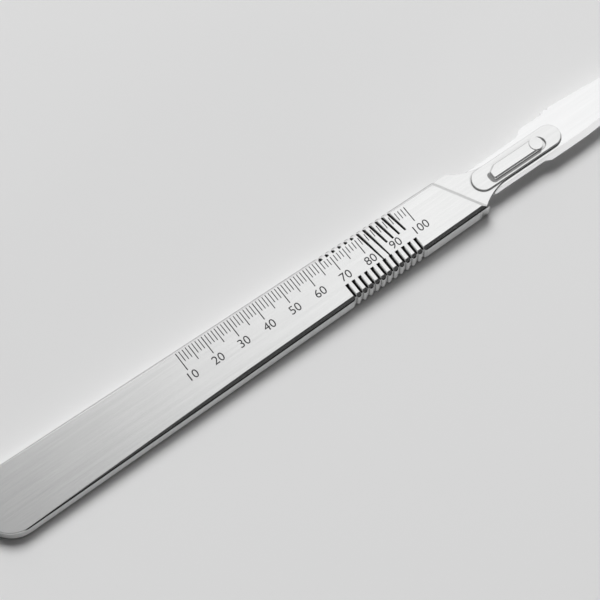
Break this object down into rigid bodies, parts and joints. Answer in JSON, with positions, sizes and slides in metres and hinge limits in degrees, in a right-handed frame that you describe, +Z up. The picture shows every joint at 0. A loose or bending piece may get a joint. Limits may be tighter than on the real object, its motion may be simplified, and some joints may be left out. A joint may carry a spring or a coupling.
{
  "type": "scalpel handle",
  "caption": "Flat stainless steel scalpel handle with a grooved grip, a graduated face and a slanted shoulder, with a curved-edge blade snapped on its nib.",
  "frame": {"origin": "centre of the bounding box on the plane the handle lies on", "axes": "+X along the handle from its butt to the blade's tip, +Y across the face towards the graduated edge, +Z up out of the face"},
  "size_m": [0.1386, 0.0114, 0.0041],
  "materials": {
    "handle_steel": "satin stainless steel, brushed along its length",
    "blade_steel": "bright rolled sheet with a ground edge"
  },
  "bodies": {
    "root": {"handle": "handle_steel", "blade": "blade_steel"}
  },
  "joints": []
}
